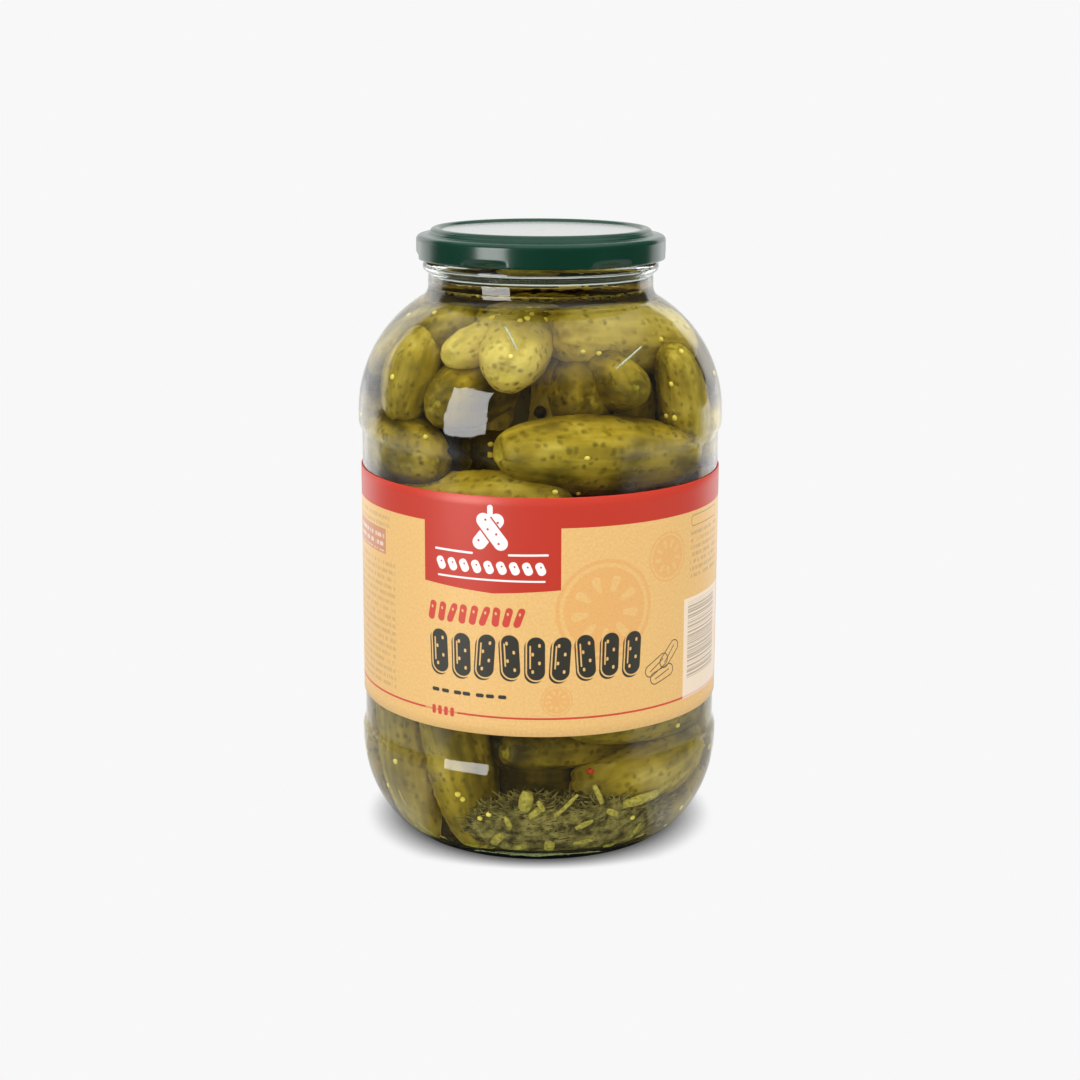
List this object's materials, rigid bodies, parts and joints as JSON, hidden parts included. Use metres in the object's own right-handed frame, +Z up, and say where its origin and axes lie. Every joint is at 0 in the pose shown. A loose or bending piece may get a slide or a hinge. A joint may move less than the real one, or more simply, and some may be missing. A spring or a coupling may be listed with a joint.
{
  "type": "pickle jar",
  "caption": "Large round glass jar of whole gherkins in brine with dill and mustard seeds, a paper wrap label on a recessed band and a twist-off lid.",
  "frame": {"origin": "centre of the ring that the jar stands on, on the surface under it", "axes": "+Z up along the axis of the jar, the front of the label faces -Y, +X is to the right seen from the front"},
  "size_m": [0.1536, 0.1536, 0.2563],
  "materials": {
    "glass": "clear soda-lime glass with a faint green edge, smooth",
    "lid_lacquer": "dark green lacquered tinplate with a white lacquered centre panel, satin gloss",
    "label_paper": "printed paper, cream with a red band, half matt",
    "gherkin": "pickled cucumber skin, olive green, wet",
    "dill": "pickled dill stems and threads, brown olive, wet",
    "brine": "clear yellow-green brine",
    "mustard_seed": "soaked yellow mustard seed, smooth",
    "spice": "black peppercorn and red pepper, wet"
  },
  "bodies": {
    "root": {"glass_jar": "glass", "lid": "lid_lacquer", "label": "label_paper", "pickles": "gherkin", "dill_bed": "dill"}
  },
  "joints": []
}
